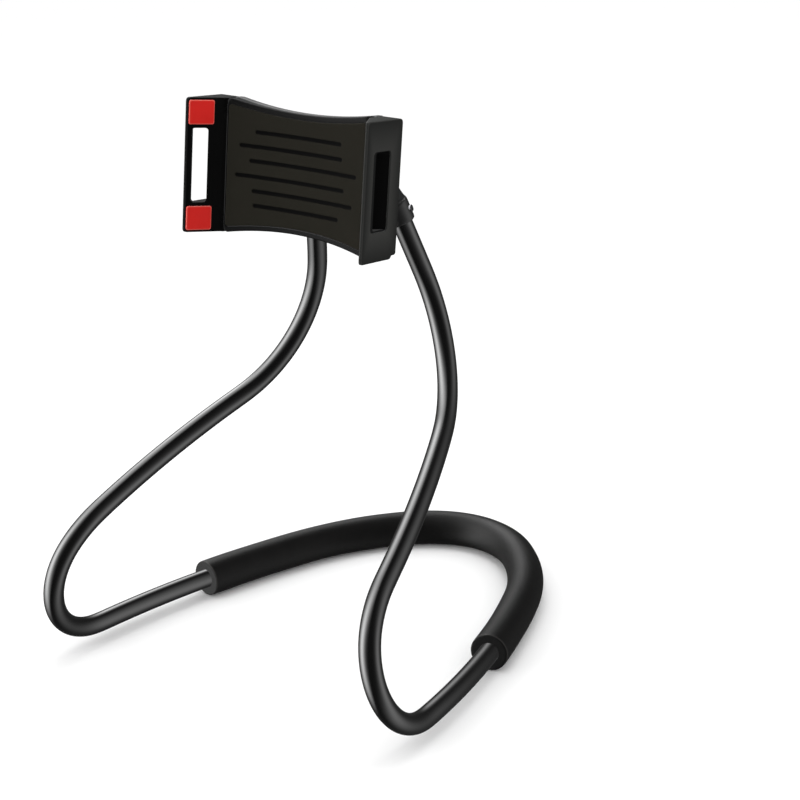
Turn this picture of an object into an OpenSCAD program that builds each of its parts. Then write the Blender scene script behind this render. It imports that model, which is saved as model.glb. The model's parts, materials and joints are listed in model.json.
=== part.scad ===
// Neck phone holder: a bent gooseneck with a padded neck loop carries a ball-jointed spring clamp.
// The frame stands on Z = 0, X runs across the user, and the clamp faces -Y, away from the neck loop.

/* [Gooseneck tube] */
// Outer diameter of the smooth tube sheath
tube_d = 22; // [16:1:26]
// Diameter of the bendable core wire
core_d = 9; // [5:0.5:11]
// Outer diameter of the foam sleeve
foam_d = 42; // [34:1:50]
// Diameter of the round seat where each front bend turns
knuckle_d = 24; // [23.5:0.1:28]

/* [Neck loop bends] */
// Bend radius at the nape
nape_r = 90; // [70:1:120]
// Bend radius behind the ears
corner_r = 130; // [100:1:180]
// Bend radius along the shoulder
shoulder_r = 310; // [260:5:400]
// Bend radius of the nearly straight collar run
collar_r = 1100; // [900:10:1400]
// Straight run before the front bend
collar_run = 12; // [4:1:40]

/* [Arm bends] */
// Bend radius of the front turn
front_r = 73; // [60:1:90]
// Bend radius where the front turn opens out
rise_r = 116; // [90:1:150]
// Bend radius of the nearly straight rising arm
arm_r = 1200; // [1000:10:1500]
// Bend radius of the curl behind the clamp
curl_r = 138; // [115:1:160]
// Straight run into the yoke
entry_run = 84; // [70:1:100]

/* [Clamp head] */
// Width from jaw tip to jaw tip when closed
head_w = 228; // [210:1:250]
// Height of the jaws
head_h = 139.5; // [130:0.5:150]
// Depth from the jaw tips to the back face
head_t = 60; // [58:0.5:70]
// Depth from the jaw tips to the plate edge
dish_edge = 36; // [30:0.5:38]
// Extra hollow of the plate in its middle
dish_sag = 9; // [5:0.5:10]
// How much the plate narrows at its waist, top and bottom
waist = 8; // [3:0.5:10]
// Width of each jaw foot
jaw_foot = 25; // [22:0.5:30]
// Thickness of each jaw tip
jaw_tip = 4; // [3:0.5:6]
// Moulded wall thickness
wall = 3; // [2.4:0.2:3.6]
// Height of the window through each jaw
window_h = 77; // [60:1:80]

/* [Mat and pads] */
// Thickness of the rubber mat
mat_t = 2.6; // [2:0.1:3]
// Border left above and below the mat
mat_margin = 6; // [4:0.5:12]
// Height of each red jaw pad
pad_h = 25; // [15:0.5:28]
// Thickness of each red jaw pad
pad_t = 2.4; // [1.8:0.1:3]

/* [Jaw slide] */
// Travel of the moving jaw
jaw_travel = 70; // [40:1:75]
// Height of each guide rail
rail_h = 12; // [8:0.5:14]
// Thickness of each guide rail
rail_t = 5.5; // [4:0.5:5.5]
// Room between each rail and the screw posts beyond it
rail_room = 2.75; // [0.5:0.25:6]
// Running clearance of moulded slides
slide_gap = 0.3; // [0.2:0.05:0.4]

/* [Ball joint] */
// Diameter of the ball
ball_d = 26; // [24:0.5:27]
// Diameter of the neck behind the ball
neck_d = 10; // [9:0.5:11]
// Distance from the ball's centre to the yoke
ball_reach = 41; // [38:0.5:48]
// Distance of the ball's centre behind the back face
ball_out = 16; // [15:0.5:18]
// Outer diameter of the socket tube
socket_d = 42; // [41:0.5:44]
// Outer diameter of the lock collar
collar_d = 54; // [52:0.5:60]
// Running clearance of round fits
fit_gap = 0.05; // [0.02:0.01:0.09]

/* [Yoke] */
// Height of the ball's centre above the tube ends
boss_rise = 37; // [32:0.5:42]
// Diameter of the boss behind the ball
boss_d = 36; // [34:0.5:40]
// Length of the boss
boss_len = 42; // [38:0.5:46]
// Depth of each tube socket
socket_depth = 24; // [20:0.5:28]

/* [Hidden] */
$fn = 96;

// Overrun of every cut
cut = 1;
// Small gap between seated pieces
seat_gap = 0.1;

// Gooseneck bend angles in degrees, from the nape forwards and up to the clamp
nape_angle = 15;
corner_angle = 30;
shoulder_angle = 25;
foam_end_angle = 7.5;
collar_angle = 7.8;
front_low_angle = 66;
front_high_angle = 64.5;
rise_angle = 23.5;
arm_angle = 10.3;
curl_angle = 80.5;
// Turn of each bend's plane against the one before
front_turn_angle = -77;
rise_turn_angle = -2.5;
arm_turn_angle = 92;
curl_turn_angle = 90;

tube_r = tube_d/2;
core_r = core_d/2;
foam_r = foam_d/2;
knuckle_r = knuckle_d/2;

// Each run is [turn of plane, bend radius, bend angle], or [turn, 0, length] where it is straight
foam_runs = [[0, nape_r, nape_angle], [0, corner_r, corner_angle], [0, shoulder_r, shoulder_angle],
    [0, collar_r, foam_end_angle]];
front_runs = [[0, collar_r, collar_angle], [0, 0, collar_run], [front_turn_angle, front_r, front_low_angle]];
loop_runs = concat(foam_runs, front_runs);
arm_runs = [[0, front_r, front_high_angle], [rise_turn_angle, rise_r, rise_angle],
    [arm_turn_angle, arm_r, arm_angle], [curl_turn_angle, curl_r, curl_angle], [0, 0, entry_run]];

function move_by(x, y, z) = [[1, 0, 0, x], [0, 1, 0, y], [0, 0, 1, z], [0, 0, 0, 1]];
function turn_y(a) = [[cos(a), 0, sin(a), 0], [0, 1, 0, 0], [-sin(a), 0, cos(a), 0], [0, 0, 0, 1]];
function turn_z(a) = [[cos(a), -sin(a), 0, 0], [sin(a), cos(a), 0, 0], [0, 0, 1, 0], [0, 0, 0, 1]];
// Travel is along the frame's own Y, and a bend turns towards its own X
function along(run, part) = turn_y(run[0]) * (run[1] == 0 ? move_by(0, part*run[2], 0)
    : move_by(run[1], 0, 0) * turn_z(-part*run[2]) * move_by(-run[1], 0, 0));
function frames(start, runs) = [for (i = 0, m = start; i <= len(runs);
    m = i < len(runs) ? m * along(runs[i], 1) : m, i = i + 1) m];
function spot(m) = [m[0][3], m[1][3], m[2][3]];

// The loop is laid out from the nape first, then moved so that the whole part is centred in Y
nape_frame = turn_z(-90);
trial_loop = frames(nape_frame, loop_runs);
trial_arm = frames(trial_loop[len(loop_runs)], arm_runs);
front_steps = 200;
front_y = min([for (i = [0:front_steps]) spot(trial_arm[0] * along(arm_runs[0], i/front_steps))[1]]);
nape_y = (tube_r - foam_r - front_y)/2;
loop_frames = frames(move_by(0, nape_y, foam_r) * nape_frame, loop_runs);
hinge_frame = loop_frames[len(loop_runs)];
arm_frames = frames(hinge_frame, arm_runs);
end_frame = arm_frames[len(arm_runs)];
end_at = spot(end_frame);

// Stations along the runs, each [frame, turn so far], so that the rings don't twist with the bends
bend_step_angle = 9;
function turned(runs) = [for (i = 0, a = runs[0][0]; i < len(runs);
    i = i + 1, a = i < len(runs) ? a + runs[i][0] : a) a];
function steps(run) = run[1] == 0 ? 1 : ceil(run[2]/bend_step_angle);
function run_length(run) = run[1] == 0 ? run[2] : run[1]*run[2]*PI/180;
function stations(start, runs, from, to) = let (f = frames(start, runs), t = turned(runs), last = len(runs) - 1)
    [for (i = [0:last]) let (n = steps(runs[i]), a = i == 0 ? from/run_length(runs[0]) : 0,
        b = i == last ? 1 - to/run_length(runs[last]) : 1)
        for (s = [(i == 0 ? 0 : 1):n]) [f[i] * along(runs[i], a + (b - a)*s/n), t[i]]];
// One ring of points round a station, pushed on by a distance along the tube
tube_sides = 20;
function ring(station, r, push = 0) = [for (k = [0:tube_sides - 1])
    let (a = 360*k/tube_sides + station[1], p = station[0] * [r*cos(a), push, r*sin(a), 1]) [p[0], p[1], p[2]]];
function tube_rings(list, r) = [for (st = list) ring(st, r)];
function flipped(rings) = [for (i = [len(rings) - 1:-1:0]) [for (p = rings[i]) [-p[0], p[1], p[2]]]];
function reversed(rings) = [for (i = [len(rings) - 1:-1:0]) rings[i]];
function tail(rings) = [for (i = [1:len(rings) - 1]) rings[i]];
// Skin over a list of rings: closed on itself for a tube with a bore, else closed by its two end faces
module skin(rings, has_bore) {
    n = len(rings);
    side_faces = [for (i = [0:(has_bore ? n : n - 1) - 1], k = [0:tube_sides - 1])
        let (j = (i + 1) % n, l = (k + 1) % tube_sides)
            [i*tube_sides + k, j*tube_sides + k, j*tube_sides + l, i*tube_sides + l]];
    end_faces = has_bore ? [] : [[for (k = [0:tube_sides - 1]) k],
        [for (k = [tube_sides - 1:-1:0]) (n - 1)*tube_sides + k]];
    polyhedron(points = [for (r = rings) each r], faces = concat(side_faces, end_faces), convexity = 10);
}
module both_sides() {
    children();
    mirror([1, 0, 0]) children();
}

// Neck loop and its foam. The core ends in a ball at each front bend, and the arms turn on it
ball_gap = 0.4;
core_gap = 0.3;
bore_r = core_r + core_gap;
cup_r = knuckle_r + ball_gap;
function reach_to(r, ball) = sqrt(ball*ball - r*r);
cup_rings = 3;
cup_radii = [for (i = [0:cup_rings]) tube_r + (bore_r - tube_r)*i/cup_rings];
// How far from the hinge a cupped end stands at each radius, a little deeper towards the core
cup_lean_share = 0.15;
function cup_depth(r) = reach_to(r, cup_r) + cup_lean_share*(tube_r - r);
function loop_half(r, end_gap) = tube_rings(stations(loop_frames[0], loop_runs, 0, end_gap), r);
function whole_loop(half) = concat(flipped(half), tail(half));
module loop_sheath() {
    outer = loop_half(tube_r, cup_depth(tube_r));
    cups = [for (i = [1:cup_rings - 1])
        let (part = 1 - cup_depth(cup_radii[i])/run_length(front_bend))
            ring([loop_frames[len(loop_runs) - 1] * along(front_bend, part), front_turn_angle], cup_radii[i])];
    inner = loop_half(bore_r, cup_depth(bore_r));
    right_out = concat(outer, cups);
    color([0.05, 0.05, 0.055])
        skin(concat(whole_loop(right_out), reversed(whole_loop(inner))), true);
}
front_bend = loop_runs[len(loop_runs) - 1];
ball_steps = 8;
module loop_core() {
    neck_a = asin(core_r/knuckle_r);
    wire = loop_half(core_r, reach_to(core_r, knuckle_r));
    ball = [for (i = [1:ball_steps - 1]) let (a = neck_a + (180 - neck_a)*i/ball_steps)
        ring([hinge_frame, front_turn_angle], knuckle_r*sin(a), -knuckle_r*cos(a))];
    color([0.7, 0.7, 0.72]) skin(whole_loop(concat(wire, ball)), false);
}
module foam_sleeve() {
    function half(r) = tube_rings(stations(loop_frames[0], foam_runs, 0, 0), r);
    color([0.1, 0.1, 0.105])
        skin(concat(whole_loop(half(foam_r)), reversed(whole_loop(half(tube_r + seat_gap)))), true);
}

// Arms: the two ends of the same gooseneck, from the front bends up to the yoke
module arm_sheath() {
    first = arm_runs[0];
    outer = tube_rings(stations(hinge_frame, arm_runs, cup_depth(tube_r), 0), tube_r);
    inner = tube_rings(stations(hinge_frame, arm_runs, cup_depth(bore_r), 0), bore_r);
    cups = [for (i = [cup_rings - 1:-1:1])
        ring([hinge_frame * along(first, cup_depth(cup_radii[i])/run_length(first)), 0], cup_radii[i])];
    color([0.05, 0.05, 0.055]) skin(concat(cups, outer, reversed(inner)), true);
}
module arm_sheath_right() arm_sheath();
module arm_sheath_left() mirror([1, 0, 0]) arm_sheath();
module arm_core() {
    color([0.7, 0.7, 0.72])
        skin(tube_rings(stations(hinge_frame, arm_runs, cup_depth(core_r), 0), core_r), false);
}
module arm_core_right() arm_core();
module arm_core_left() mirror([1, 0, 0]) arm_core();

// Yoke behind the clamp: takes both tube ends and carries the ball
ferrule_t = 0.8;
barrel_r = tube_r + ferrule_t + wall;
ball_r = ball_d/2;
boss_r = boss_d/2;
ball_z = end_at[2] + boss_rise;
boss_back = end_at[1] + boss_len/2 - wall;
boss_front = boss_back - boss_len;
ball_y = boss_front - ball_reach;
nut_r = 9;
nut_h = 7;
shank_r = neck_d/2;
cap_t = 2.4;
cap_r = nut_r + wall;
nut_well = nut_h + cap_t + seat_gap;
screw_r = 2;
screw_head_r = 3.6;
screw_head_h = 2.4;
screw_len = 9;
hull_fn = 32;

module in_end_frame() multmatrix(end_frame) rotate([-90, 0, 0]) children();
module tube_ferrules() {
    color([0.62, 0.63, 0.65])
        both_sides() in_end_frame() {
            translate([0, 0, -socket_depth]) difference() {
                cylinder(r = tube_r + ferrule_t, h = socket_depth);
                translate([0, 0, -cut]) cylinder(r = tube_r + fit_gap, h = socket_depth + 2*cut);
            }
        }
}
module tube_lock_screws() {
    color([0.3, 0.3, 0.32])
        both_sides() in_end_frame() lock_screw_place() {
            cylinder(r = screw_r, h = barrel_r - tube_r - ferrule_t + screw_head_h - seat_gap);
            translate([0, 0, barrel_r - tube_r - ferrule_t - seat_gap])
                cylinder(r = screw_head_r, h = screw_head_h);
        }
}
// The lock screws sit at the back of each barrel, square to the tube
module lock_screw_place() {
    translate([0, 0, -socket_depth/2]) rotate([-90, 0, 0])
        translate([0, 0, tube_r + ferrule_t + seat_gap]) children();
}
module yoke_hull() {
    hull() {
        both_sides() in_end_frame() translate([0, 0, -barrel_r/2]) sphere(r = barrel_r, $fn = hull_fn);
        translate([0, boss_back, ball_z]) rotate([90, 0, 0])
            cylinder(r = boss_r, h = boss_len, $fn = hull_fn);
    }
}
module yoke() {
    color([0.09, 0.09, 0.095])
        difference() {
            union() {
                yoke_hull();
                both_sides() in_end_frame() translate([0, 0, -socket_depth])
                    cylinder(r = barrel_r, h = socket_depth);
            }
            both_sides() in_end_frame() {
                translate([0, 0, -socket_depth - cut])
                    cylinder(r = tube_r + ferrule_t + fit_gap, h = socket_depth + cut + seat_gap);
                lock_screw_place() cylinder(r = screw_r + seat_gap, h = barrel_r);
            }
            translate([0, boss_back + cut, ball_z]) rotate([90, 0, 0])
                cylinder(r = shank_r + fit_gap, h = boss_len + 2*cut);
            translate([0, boss_back + cut, ball_z]) rotate([90, 0, 0])
                cylinder(r = cap_r + seat_gap, h = nut_well + cut);
        }
}
module yoke_cap() {
    color([0.08, 0.08, 0.085])
        translate([0, boss_back, ball_z]) rotate([90, 0, 0]) cylinder(r = cap_r, h = cap_t);
}
module stud_nut() {
    color([0.6, 0.6, 0.62])
        translate([0, boss_back - cap_t - seat_gap, ball_z]) rotate([90, 0, 0]) difference() {
            cylinder(r = nut_r, h = nut_h, $fn = 6);
            translate([0, 0, -cut]) cylinder(r = shank_r + fit_gap, h = nut_h + 2*cut);
        }
}
flange_t = 4;
module ball_stud() {
    color([0.55, 0.55, 0.57])
        translate([0, ball_y, ball_z]) rotate([-90, 0, 0]) {
            sphere(r = ball_r);
            cylinder(r = neck_d/2, h = ball_reach + boss_len - cap_t - seat_gap);
            translate([0, 0, ball_reach - flange_t]) cylinder(r = neck_d, h = flange_t);
        }
}

// Clamp head: X across, Y back from the jaw tips, Z up from the middle of the jaws
head_lean_angle = -4.5;
head_roll_angle = 2.4;
ball_back = head_t + ball_out;
half_w = head_w/2;
half_h = head_h/2;
body_x = half_w - jaw_foot;
// Both arcs run out just short of the plate's ends
arc_land = 2;
arc_half = body_x - arc_land;
waist_land = 5;
waist_half = body_x - waist_land;
dish_r = (arc_half*arc_half + dish_sag*dish_sag)/(2*dish_sag);
waist_r = (waist_half*waist_half + waist*waist)/(2*waist);
dish_fn = 4*$fn;
module in_head() {
    translate([0, ball_y, ball_z]) rotate([head_lean_angle, 0, 0]) rotate([0, head_roll_angle, 0])
        translate([0, -ball_back, 0]) children();
}
// A plan in X and Y is raised along Z, and what stands on the back is turned about Y
module raised(h) translate([0, 0, -h/2]) linear_extrude(h) children();
module on_back(y) translate([0, y, 0]) rotate([-90, 0, 0]) children();

// Circle whose back is the hollow front face, set back by a depth
module dish_circle(set_back) {
    translate([0, dish_edge + dish_sag - dish_r + set_back]) circle(r = dish_r, $fn = dish_fn);
}
// Jaw plan: flat outside, flared inside, from the tip back to the head's back
module jaw_plan() {
    polygon([[half_w - jaw_tip, 0], [half_w, 0], [half_w, head_t], [body_x, head_t], [body_x, dish_edge]]);
}
// Rounds that draw in the plate's waist from above and below, grown by a margin
module waist_rounds(margin) {
    for (s = [-1, 1])
        translate([0, 0, s*(half_h - waist + waist_r)]) on_back(-cut)
            cylinder(r = waist_r + margin, h = head_t + 2*cut, $fn = dish_fn);
}
module plate_plan(from_y, to_y) {
    difference() {
        translate([-body_x, from_y]) square([2*body_x, to_y - from_y]);
        dish_circle(0);
    }
}

// Window through a jaw: a slanting channel from the flared face to the flat outer face
window_front = 4.5;
outer_back = 41;
// The fixed jaw's window ends at one depth inside and starts at another outside, and so does the slot
window_back = 20;
window_out = 13;
slot_back = 24;
slot_out = 16;
flare_run = jaw_foot - jaw_tip;
flare_len = sqrt(flare_run*flare_run + dish_edge*dish_edge);
flare_angle = atan2(flare_run, dish_edge);
function flare_x(y) = half_w - jaw_tip - flare_run*y/dish_edge;
function past_flare(y, outer_y) = let (x = flare_x(y), slope = (outer_y - y)/(half_w - x))
    [x - cut, y - slope*cut];
function past_outer(y, outer_y) = let (x = flare_x(y), slope = (outer_y - y)/(half_w - x))
    [half_w + cut, outer_y + slope*cut];
module jaw_window(back, out) {
    raised(window_h) polygon([past_flare(window_front, out), past_outer(window_front, out),
        past_outer(back, outer_back), past_flare(back, outer_back)]);
}

// Red pads, one at each end of a jaw's flared face, set half into it
pad_inset = 1;
pad_back = 13;
pad_len = flare_len - pad_inset - pad_back;
pad_edge = 2.5;
module pad_places() {
    for (s = [-1, 1])
        translate([half_w - jaw_tip, 0, s*(half_h - pad_edge - pad_h/2)])
            rotate([0, 0, flare_angle + 90]) children();
}
// In a pad's own frame X runs back along the flare and Y points out of the jaw
module pad_block(grow) {
    translate([pad_inset - grow, -grow - pad_t/2, -pad_h/2 - grow])
        cube([pad_len + 2*grow, pad_t + 2*grow, pad_h + 2*grow]);
}
module fixed_jaw_pads() {
    color([0.8, 0.16, 0.12]) in_head() mirror([1, 0, 0]) pad_places() pad_block(0);
}
module sliding_jaw_pads() {
    color([0.8, 0.16, 0.12]) in_head() pad_places() pad_block(0);
}

// Rubber mat lying in a shallow pocket of the plate
mat_seat = 0.8*mat_t;
mat_side = 3;
mat_half_w = body_x - mat_side;
module mat_layer(front, back, grow) {
    difference() {
        raised(head_h) difference() {
            intersection() {
                translate([-mat_half_w - grow, 0]) square([2*mat_half_w + 2*grow, head_t]);
                dish_circle(back);
            }
            dish_circle(front);
        }
        waist_rounds(mat_margin - grow);
    }
}
module grip_mat() {
    color([0.13, 0.12, 0.115]) in_head() mat_layer(mat_seat - mat_t, mat_seat, 0);
}

// Front shell with the fixed jaw, and the rear cover screwed to it
split_y = dish_edge + dish_sag + mat_seat + wall;
cover_y = head_t - wall;
hollow_h = head_h - 2*waist - 2*wall;
rail_y = (split_y + cover_y - rail_t)/2;
post_r = 5.5;
post_bite = 1;
rail_z = hollow_h/2 - 2*post_r + post_bite - rail_h/2 - rail_room;
module head_hollow() {
    raised(hollow_h) difference() {
        translate([wall - body_x, dish_edge + wall]) square([2*body_x - 2*wall, cover_y - dish_edge - wall]);
        dish_circle(mat_seat + wall);
    }
}
module rail_slots() {
    for (s = [-1, 1])
        translate([body_x - wall - cut, rail_y - slide_gap, s*rail_z - rail_h/2 - slide_gap])
            cube([wall + 2*cut, rail_t + 2*slide_gap, rail_h + 2*slide_gap]);
}
// Screws run through posts in the corners of the hollow
screw_spots = [for (sx = [-1, 1], sz = [-1, 1])
    [sx*(body_x - wall - post_r + post_bite), sz*(hollow_h/2 - post_r + post_bite)]];
module screw_posts(from_y, to_y) {
    for (p = screw_spots)
        translate([p[0], 0, p[1]]) on_back(from_y) cylinder(r = post_r, h = to_y - from_y);
}
module at_screws(y) {
    for (p = screw_spots)
        translate([p[0], 0, p[1]]) on_back(y) children();
}
module front_shell() {
    color([0.1, 0.098, 0.096])
        in_head() difference() {
            union() {
                difference() {
                    raised(head_h) {
                        plate_plan(dish_edge, split_y);
                        mirror([1, 0]) jaw_plan();
                    }
                    waist_rounds(0);
                    head_hollow();
                }
                screw_posts(split_y - screw_len - wall, split_y);
            }
            mirror([1, 0, 0]) jaw_window(window_back, window_out);
            mat_layer(-cut, mat_seat + seat_gap, seat_gap);
            mirror([1, 0, 0]) pad_places() pad_block(seat_gap);
            at_screws(split_y - screw_len) cylinder(r = screw_r, h = screw_len + cut);
        }
}
module rear_cover() {
    color([0.09, 0.09, 0.095])
        in_head() difference() {
            union() {
                difference() {
                    raised(head_h) plate_plan(split_y + seat_gap, head_t);
                    waist_rounds(0);
                    head_hollow();
                }
                screw_posts(split_y + seat_gap, cover_y + cut);
            }
            rail_slots();
            on_back(cover_y - cut) cylinder(r = socket_d/2 + seat_gap, h = wall + 2*cut);
            at_screws(split_y) cylinder(r = screw_r + seat_gap, h = head_t);
            at_screws(head_t - screw_head_h) cylinder(r = screw_head_r + seat_gap, h = wall);
            at_socket_screws(cover_y - cut) cylinder(r = small_screw_r + seat_gap, h = wall + 2*cut);
        }
}
module cover_screws() {
    color([0.25, 0.25, 0.27])
        in_head() {
            at_screws(split_y - screw_len + seat_gap)
                cylinder(r = screw_r - fit_gap, h = head_t - screw_head_h - split_y + screw_len - seat_gap);
            at_screws(head_t - screw_head_h) cylinder(r = screw_head_r, h = screw_head_h);
        }
}

// Moving jaw with two guide rails that run in the hollow of the head
rail_hold = 45;
rail_len = jaw_travel + rail_hold;
rail_end = body_x - rail_len;
corner_round = 2.5;
rebate_t = 2;
rebate_rim = 1.5;
rebate_front = 12;
heel_h = 3.5;
heel_len = 9;
module sliding_jaw() {
    color([0.12, 0.12, 0.125])
        in_head() difference() {
            union() {
                intersection() {
                    raised(head_h) difference() {
                        jaw_plan();
                        translate([body_x - cut, 0]) square([slide_gap + cut, head_t]);
                    }
                    translate([-half_w, 0, 0]) rotate([90, 0, 90]) linear_extrude(2*head_w)
                        translate([corner_round, corner_round - half_h]) offset(r = corner_round)
                            square([head_t - 2*corner_round, head_h - 2*corner_round]);
                }
                for (s = [-1, 1])
                    translate([rail_end, rail_y, s*rail_z - rail_h/2]) cube([rail_len + wall, rail_t, rail_h]);
            }
            jaw_window(slot_back, slot_out);
            translate([half_w - rebate_t, rebate_front, -window_h/2 - rebate_rim])
                cube([rebate_t + cut, outer_back + rebate_rim - rebate_front, window_h + 2*rebate_rim]);
            translate([body_x - cut, head_t - heel_len, -half_h - cut])
                cube([jaw_foot + 2*cut, heel_len + cut, heel_h + cut]);
            pad_places() pad_block(seat_gap);
            for (s = [-1, 1])
                translate([rail_end + pin_inset, 0, s*rail_z]) on_back(rail_y - cut)
                    cylinder(r = pin_r + fit_gap, h = rail_t + 2*cut);
        }
}

// Springs from the rails' ends to the posts at the far wall pull the jaw shut
pin_r = 1.6;
pin_inset = 4;
spring_r = 2.6;
spring_wire = 0.9;
anchor_x = wall - body_x;
module spring_pins() {
    color([0.6, 0.6, 0.62]) in_head() for (s = [-1, 1])
        translate([rail_end + pin_inset, 0, s*rail_z]) on_back(rail_y) cylinder(r = pin_r, h = rail_t);
}
module tension_springs() {
    color([0.72, 0.72, 0.74]) in_head() for (s = [-1, 1])
        translate([anchor_x, rail_y + rail_t/2, s*rail_z]) rotate([0, 90, 0]) difference() {
            cylinder(r = spring_r, h = rail_end - anchor_x);
            translate([0, 0, -cut]) cylinder(r = spring_r - spring_wire, h = rail_end - anchor_x + 2*cut);
        }
}

// Ball socket: flange inside the rear cover, tube outside it, liner and lock collar
socket_flange_t = 4;
socket_flange_r = 27.5;
small_screw_r = 1.5;
small_head_r = 2.7;
small_head_h = 1.6;
socket_screw_ring = 24;
socket_screw_count = 4;
seat_wall = 3;
seat_r = socket_d/2 - wall;
seat_floor = ball_back - ball_r - seat_wall;
seat_lip = 7;
socket_lip = 2;
collar_lip_t = 2.2;
socket_end = ball_back + seat_lip + socket_lip;
flange_y = cover_y - seat_gap - socket_flange_t;
module at_socket_screws(y) {
    for (i = [0:socket_screw_count - 1])
        rotate([0, (360*i + 180)/socket_screw_count, 0])
            translate([socket_screw_ring, 0, 0]) on_back(y) children();
}
module ball_socket() {
    color([0.09, 0.09, 0.095])
        in_head() difference() {
            union() {
                on_back(flange_y) cylinder(r = socket_flange_r, h = socket_flange_t);
                on_back(flange_y) cylinder(r = socket_d/2, h = socket_end - flange_y);
            }
            on_back(seat_floor - seat_gap) cylinder(r = seat_r + fit_gap, h = head_t);
            at_socket_screws(0) cylinder(r = small_screw_r, h = head_t);
        }
}
module socket_screws() {
    color([0.25, 0.25, 0.27])
        in_head() {
            at_socket_screws(flange_y)
                cylinder(r = small_screw_r - fit_gap, h = socket_flange_t + wall + seat_gap);
            at_socket_screws(head_t) cylinder(r = small_head_r, h = small_head_h);
        }
}
module ball_seat() {
    lip_r = sqrt(ball_r*ball_r - seat_lip*seat_lip);
    color([0.75, 0.75, 0.72])
        in_head() on_back(ball_back) rotate_extrude() difference() {
            translate([0, seat_floor - ball_back]) square([seat_r, ball_back + seat_lip - seat_floor]);
            circle(r = ball_r + fit_gap);
            translate([-cut, 0]) square([lip_r + cut, 2*seat_lip]);
            translate([-seat_r - cut, seat_floor - ball_back - cut]) square([seat_r + cut, head_t]);
        }
}
// Ribbed collar that tightens the socket on the ball
rib_r = 1.6;
rib_count = 24;
collar_gap = 1;
collar_front = head_t + small_head_h + collar_gap;
collar_inside = socket_end + seat_gap;
module lock_collar() {
    color([0.1, 0.1, 0.105])
        in_head() difference() {
            on_back(collar_front) cylinder(r = collar_d/2, h = collar_inside + collar_lip_t - collar_front);
            on_back(collar_front - cut) cylinder(r = socket_d/2 + fit_gap, h = collar_inside - collar_front + cut);
            on_back(socket_end) cylinder(r = ball_r + cut, h = collar_lip_t + 2*cut);
            for (i = [0:rib_count - 1])
                rotate([0, 360*i/rib_count, 0]) translate([collar_d/2 + rib_r/2, 0, 0])
                    on_back(collar_front - cut) cylinder(r = rib_r, h = head_t);
        }
}

loop_sheath();
foam_sleeve();
loop_core();
arm_sheath_left();
arm_sheath_right();
arm_core_left();
arm_core_right();
tube_ferrules();
yoke();
tube_lock_screws();
yoke_cap();
ball_stud();
stud_nut();
ball_seat();
ball_socket();
socket_screws();
lock_collar();
rear_cover();
cover_screws();
front_shell();
grip_mat();
fixed_jaw_pads();
sliding_jaw();
sliding_jaw_pads();
tension_springs();
spring_pins();
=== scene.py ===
"""Neck phone holder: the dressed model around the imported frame, with its studio and camera.

Lengths are in metres. The gooseneck and its foam are swept along one route. The clamp's shell, jaws, pads and
rails are skins over rounded rectangles, worked out in the clamp head's own frame. The pieces behind the clamp
are the frame's own nodes, most of them with their edges rounded.
"""
import json
import math

import bpy
import numpy as np
from mathutils import Matrix, Vector


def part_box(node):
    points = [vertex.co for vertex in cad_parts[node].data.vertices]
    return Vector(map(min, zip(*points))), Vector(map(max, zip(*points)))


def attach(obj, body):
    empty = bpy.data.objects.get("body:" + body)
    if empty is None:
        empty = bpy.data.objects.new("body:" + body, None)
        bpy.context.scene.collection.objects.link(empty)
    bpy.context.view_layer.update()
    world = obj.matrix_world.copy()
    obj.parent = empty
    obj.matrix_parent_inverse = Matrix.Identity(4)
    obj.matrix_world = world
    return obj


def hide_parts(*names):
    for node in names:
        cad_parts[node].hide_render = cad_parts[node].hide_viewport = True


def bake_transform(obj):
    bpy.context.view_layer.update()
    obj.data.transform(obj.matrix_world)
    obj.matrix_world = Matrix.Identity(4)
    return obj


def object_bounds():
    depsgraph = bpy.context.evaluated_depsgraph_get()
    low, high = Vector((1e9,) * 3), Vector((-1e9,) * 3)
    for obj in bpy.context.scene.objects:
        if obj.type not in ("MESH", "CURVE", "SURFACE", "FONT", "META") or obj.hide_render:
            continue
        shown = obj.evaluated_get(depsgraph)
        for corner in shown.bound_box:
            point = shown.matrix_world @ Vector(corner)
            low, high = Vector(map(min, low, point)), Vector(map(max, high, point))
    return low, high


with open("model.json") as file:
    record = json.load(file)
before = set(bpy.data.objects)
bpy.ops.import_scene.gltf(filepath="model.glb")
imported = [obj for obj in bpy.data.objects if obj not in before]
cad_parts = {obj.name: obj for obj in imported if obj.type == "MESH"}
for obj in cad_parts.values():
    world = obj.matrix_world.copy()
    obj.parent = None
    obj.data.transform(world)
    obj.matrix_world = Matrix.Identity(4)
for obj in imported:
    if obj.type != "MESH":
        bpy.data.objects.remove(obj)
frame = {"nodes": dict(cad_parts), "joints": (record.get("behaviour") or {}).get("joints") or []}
cad_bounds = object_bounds()

MM = 0.001
TAU = 2 * math.pi

# Gooseneck sizes
TUBE_R = 11 * MM
CORE_R = 4.5 * MM
FOAM_R = 21 * MM
FOAM_BORE = TUBE_R + 0.1 * MM
FOAM_EDGE = 1.4 * MM
SHEATH_SIDES, CORE_SIDES, FOAM_SIDES = 56, 16, 64
# Runs of the gooseneck from the nape: turn of the bend's plane, bend radius, angle, in degrees and mm. A run
# without a radius is straight and has its length in place of the angle
FOAM_RUNS = [(0, 90, 15), (0, 130, 30), (0, 310, 25), (0, 1100, 7.5)]
FRONT_RUNS = [(0, 1100, 7.8), (0, 0, 12), (-77, 73, 66)]
ARM_RUNS = [(0, 73, 64.5), (-2.5, 116, 23.5), (92, 1200, 10.3), (90, 138, 80.5), (0, 0, 84)]
# Length over which one bend eases into the next
EASE = 9 * MM
# Where the averaging window ends, in lengths of the ease
BELL_REACH = 3
RING_GAP = 2.5 * MM

# Clamp head, in its own frame: X across, Y back from the jaw tips, Z up
HEAD_W, HEAD_H, HEAD_T = 228 * MM, 139.5 * MM, 60 * MM
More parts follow.
